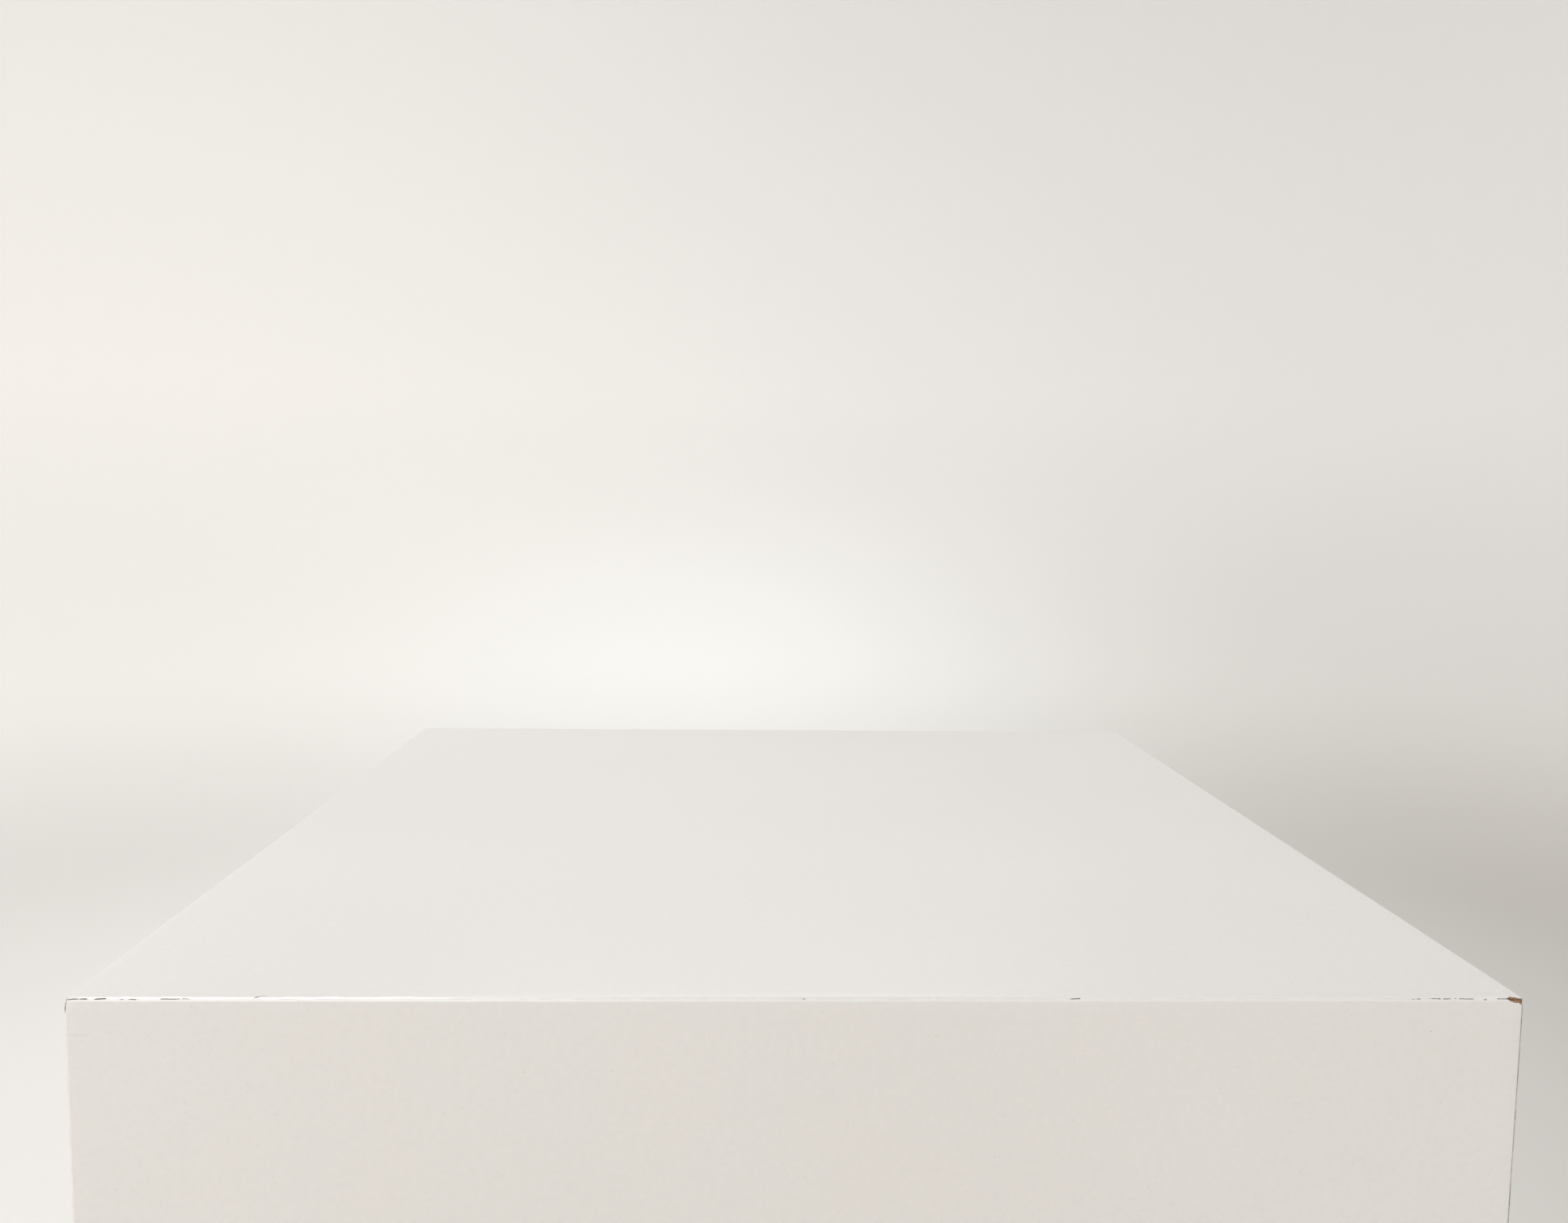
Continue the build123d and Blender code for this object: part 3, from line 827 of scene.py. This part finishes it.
def moulded_nylon():
    """Black moulded nylon with a fine spark-eroded grain and a little dust on what faces up."""
    material, tree, shader, place = new_material("moulded_nylon", 0.5)
    grain = noise(tree, place, 0.0005, 2, 0.6)
    up = put(tree, "ShaderNodeSeparateXYZ", {"Vector": put(tree, "ShaderNodeTexCoord").outputs["Normal"]})
    dust = maths(tree, "MULTIPLY", spread(tree, up.outputs[2], 0.2, 0.9), noise(tree, place, 0.003, 4, 0.7))
    colour = blended(tree, maths(tree, "MULTIPLY", dust, 0.35), (0.018, 0.018, 0.019), (0.26, 0.24, 0.22))
    tree.links.new(colour, shader.inputs["Base Color"])
    tree.links.new(spread(tree, grain, 0.3, 0.7, 0.42, 0.6), shader.inputs["Roughness"])
    raise_bumps(tree, shader, grain, 0.03 * MM)
    return material


def studio_paper_painted_light():
    """The pale sweep that the plinth stands on. It is darker towards the right and darkest low on the
    right, a painted shadow, and it glows a little
    by itself as painted light: less on the floor and on the right, and most in a patch behind the plinth, a
    painted pool of light."""
    material, tree, shader, place = new_material("studio_paper_painted_light", 0.8)
    axes = put(tree, "ShaderNodeSeparateXYZ", {"Vector": place}).outputs
    rightwards = spread(tree, axes[0], -2.5, 3.0)
    upwards = spread(tree, axes[2], 0.1, 1.6)
    off_floor = spread(tree, axes[2], -0.3, 0.5)
    # Painted shadow: the paper's colour goes darker towards the right, and darkest low on the right.
    right = blended(tree, upwards, paper_right_low_shaded, paper_right_high_shaded)
    shaded_tint = blended(tree, rightwards, paper_left, right)
    tree.links.new(shaded_tint, shader.inputs["Base Color"])
    from_middle = maths(tree, "ABSOLUTE", axes[0])
    from_top = maths(tree, "ABSOLUTE", maths(tree, "SUBTRACT", axes[2], 0.35))
    glow_patch = maths(tree, "MULTIPLY", spread(tree, from_middle, 0.0, 2.4, 1.0, 0.0),
                  spread(tree, from_top, 0.0, 1.1, 1.0, 0.0))
    glow_patch = maths(tree, "MULTIPLY", glow_patch, spread(tree, axes[1], 0.5, 2.5))
    # Painted light: the paper glows, less on the floor and on the right, and most in a patch behind the
    # plinth.
    glow = blended(tree, rightwards, glow_left, glow_right)
    glow_low = blended(tree, rightwards, glow_floor_left, glow_floor_right)
    glow = blended(tree, off_floor, glow_low, glow)
    glow = blended(tree, glow_patch, glow, glow_behind, "ADD")
    tree.links.new(glow, shader.inputs["Emission Color"])
    shader.inputs["Emission Strength"].default_value = 1.0
    return material


# ---- Putting the object together ----
def dress(object_, material):
    """Gives a node from the frame its finish."""
    if not object_.material_slots:
        object_.data.materials.append(material)
    for slot in object_.material_slots:
        slot.material = material


dent_half_width = 0.35 * MM
scratch_half_width = 0.26 * MM


def build_boards():
    """Makes the five painted boards and puts each in the place of its node."""
    left, front = -width / 2, -depth / 2
    dents = (
        ((0, 2), left + 1.0 * MM, left + 9.3 * MM, top - 12.9 * MM, top - 13.1 * MM,
         dent_half_width, 0.10, 0.05),
        ((0, 2), 216.6 * MM, 217.4 * MM, top - 12.0 * MM, top - 12.2 * MM, dent_half_width, 0.35, 0.05),
    )
    scratches = (
        ((0, 1), left + 62.8 * MM, left + 67.9 * MM, front + 0.8 * MM, front + 2.1 * MM,
         scratch_half_width, 0.95, 0.03),
    )
    upright_paint = roller_paint("roller_paint_sides", 0.034, 0.05, 0.40, 0.52, dents)
    top_paint = roller_paint("roller_paint_top", 0.013, 0.03, 0.29, 0.29, scratches)
    core = bare_fibreboard()
    for name in BOARDS:
        piece = painted_board(name)
        piece.data.materials.append(top_paint if name == "top_panel" else upright_paint)
        piece.data.materials.append(core)
        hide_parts(name)
        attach(piece, "plinth_box")


stud_radius = 5.0 * MM
pad_boss = 12.0 * MM
pad_bore = 6.2 * MM
hex_height = 5.0 * MM
overlap = 0.3 * MM


def build_feet(zinc, nylon):
    """Makes each levelling foot from the boxes of its two nodes: the nylon pad, and the plated stud
    as a round seat, a spanner hex and a thread."""
    for body in frame["bodies"]:
        if not body.startswith("foot_"):
            continue
        corner = body[len("foot_"):]
        pad_node, stud_node = f"foot_pad_{corner}", f"foot_stud_{corner}"
        pad_low, pad_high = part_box(pad_node)
        stud_low, stud_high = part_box(stud_node)
        middle = ((pad_low.x + pad_high.x) / 2, (pad_low.y + pad_high.y) / 2, 0)
        pad = ribbed_pad(f"{pad_node}_ribbed", (pad_high.x - pad_low.x) / 2, pad_high.z - pad_low.z,
                         pad_boss, pad_bore, stud_low.z, middle)
        seat = tube(f"{stud_node}_seat", np.full((2, 48), pad_bore - 0.2 * MM),
                    np.array([stud_low.z, pad_high.z + overlap]), middle)
        hexagon = spanner_hex(f"{stud_node}_hex", pad_high.z, pad_high.z + hex_height, middle,
                              stud_high.y - stud_low.y)
        thread_low = pad_high.z + hex_height - overlap
        thread = threaded_stud(f"{stud_node}_thread", thread_low, stud_high.z, middle)
        pad.data.materials.append(nylon)
        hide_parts(pad_node)
        for piece in (seat, hexagon, thread):
            piece.data.materials.append(zinc)
            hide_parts(stud_node)
        for piece in (pad, seat, hexagon, thread):
            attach(piece, body)


def dress_inside(zinc):
    """Gives the sticks, base board, biscuits, screws and tee nuts their finishes, with the wood's grain
    along each piece."""
    quarter = math.pi / 2
    pine = ((0.70, 0.50, 0.28), (0.46, 0.25, 0.10))
    along = {
        "z": planed_wood("softwood_upright", (0, 0, 0), *pine),
        "x": planed_wood("softwood_across", (0, quarter, 0), *pine),
        "y": planed_wood("softwood_deep", (quarter, 0, 0), *pine),
    }
    plywood = planed_wood("birch_plywood", (0, quarter, 0), (0.72, 0.57, 0.37), (0.62, 0.45, 0.26), 0.02)
    beech = planed_wood("pressed_beech", (0, 0, 0), (0.60, 0.40, 0.24), (0.50, 0.31, 0.17), 0.002)
    for name, node in frame["nodes"].items():
        if name.startswith("corner_batten"):
            dress(node, along["z"])
        elif name.endswith(("_front", "_back")):
            dress(node, along["x"])
        elif name.endswith(("_left", "_right")) and "foot" not in name:
            dress(node, along["y"])
        elif name == "base_board":
            dress(node, plywood)
        elif name.endswith("biscuits"):
            dress(node, beech)
        elif name.endswith("screws") or name == "tee_nuts":
            dress(node, zinc)


# ---- Floor, light and camera ----
# Painted shadow and painted light: the paper's colours are darker on the right and darkest low on the
# right, and the glow values make it shine by itself.
paper_left = (0.90, 0.88, 0.85)
paper_right_high_shaded = (0.80, 0.79, 0.78)
paper_right_low_shaded = (0.70, 0.67, 0.63)
glow_left = (0.315, 0.305, 0.295)
glow_right = (0.24, 0.235, 0.23)
glow_floor_left = (0.055, 0.055, 0.055)
glow_floor_right = (0.0, 0.0, 0.0)
glow_behind = (0.15, 0.17, 0.17)
daylight = 0.28
sweep_floor = 3.6
sweep_bend = 1.6
sweep_height = 3.4


def studio_sweep():
    """A round pale floor that bends up into a wall: flat out to the floor's radius, a quarter circle,
    then straight up, turned about the plinth."""
    quarter = np.linspace(0, math.pi / 2, 25)
    radii = np.concatenate([[0.001, 0.8, 1.8], sweep_floor + sweep_bend * np.sin(quarter),
                            [sweep_floor + sweep_bend]])
    heights = np.concatenate([[0, 0, 0], sweep_bend * (1 - np.cos(quarter)), [sweep_height]]) + cad_low.z
    angle = np.linspace(0, 2 * math.pi, 97)
    points = np.stack([radii[:, None] * np.cos(angle), radii[:, None] * np.sin(angle),
                       np.repeat(heights[:, None], len(angle), 1)], axis=-1)
    numbers = np.arange(len(radii) * len(angle)).reshape(len(radii), len(angle))
    sweep = make_mesh("studio_sweep", points.reshape(-1, 3), [grid_faces(numbers)])
    sweep.data.materials.append(studio_paper_painted_light())


def soft_light(name, place, aim, size, power, colour):
    """A square area light at a place, turned to face its aim."""
    light = bpy.data.lights.new(name, "AREA")
    light.shape = "SQUARE"
    light.size = size
    light.energy = power
    light.color = colour
    lamp = bpy.data.objects.new(name, light)
    lamp.location = place
    lamp.rotation_euler = (Vector(aim) - Vector(place)).to_track_quat("-Z", "Y").to_euler()
    bpy.context.scene.collection.objects.link(lamp)


def light_studio():
    """Soft light all round, a stronger soft light in front on the left, and two behind."""
    world = bpy.data.worlds.new("soft_daylight")
    world.use_nodes = True
    world.node_tree.nodes["Background"].inputs["Color"].default_value = (1, 1, 1, 1)
    world.node_tree.nodes["Background"].inputs["Strength"].default_value = daylight
    bpy.context.scene.world = world
    middle = (0, 0, top)
    soft_light("key_front_left", (-1.05, -1.6, 3.1), middle, 1.1, 40, (1.0, 0.995, 0.985))
    soft_light("back_left", (-2.0, 1.2, 3.2), middle, 1.4, 18, (1.0, 1.0, 1.0))
    soft_light("back", (0, 2.2, 3.2), middle, 1.6, 18, (1.0, 1.0, 1.0))


def camera_turn(yaw, pitch, roll):
    """The camera's axes as columns: it looks level along +Y, then turns to the right by yaw, down by
    pitch, and about its own line of sight by roll."""
    ahead = np.array([math.sin(yaw) * math.cos(pitch), math.cos(yaw) * math.cos(pitch), -math.sin(pitch)])
    right = np.array([math.cos(yaw), -math.sin(yaw), 0])
    down = np.cross(ahead, right)
    right, down = (math.cos(roll) * right + math.sin(roll) * down,
                   math.cos(roll) * down - math.sin(roll) * right)
    return np.column_stack([right, -down, -ahead])


camera_distance = 0.9972
camera_direction = (-0.0463, -0.8625, 0.3454)
camera_angles = (1.821, 5.31, -0.694)
camera_lens_mm = 29.94


def place_camera():
    """The camera stands in front of the plinth, a little above its top, as far off as the shares of
    the plinth's width say."""
    camera = bpy.data.cameras.new("camera")
    camera.sensor_width = 36
    camera.lens = camera_lens_mm
    camera.clip_start = 0.02
    stand = bpy.data.objects.new("camera", camera)
    front_edge = Vector((0, -depth / 2, top))
    place = front_edge + camera_distance * width * Vector(camera_direction)
    turn = camera_turn(*(math.radians(angle) for angle in camera_angles))
    stand.matrix_world = Matrix.Translation(place) @ Matrix(turn.tolist()).to_4x4()
    bpy.context.scene.collection.objects.link(stand)
    bpy.context.scene.camera = stand


zinc = zinc_plate()
build_boards()
build_feet(zinc, moulded_nylon())
dress_inside(zinc)
studio_sweep()
light_studio()
place_camera()
bpy.context.scene.view_settings.view_transform = "Standard"
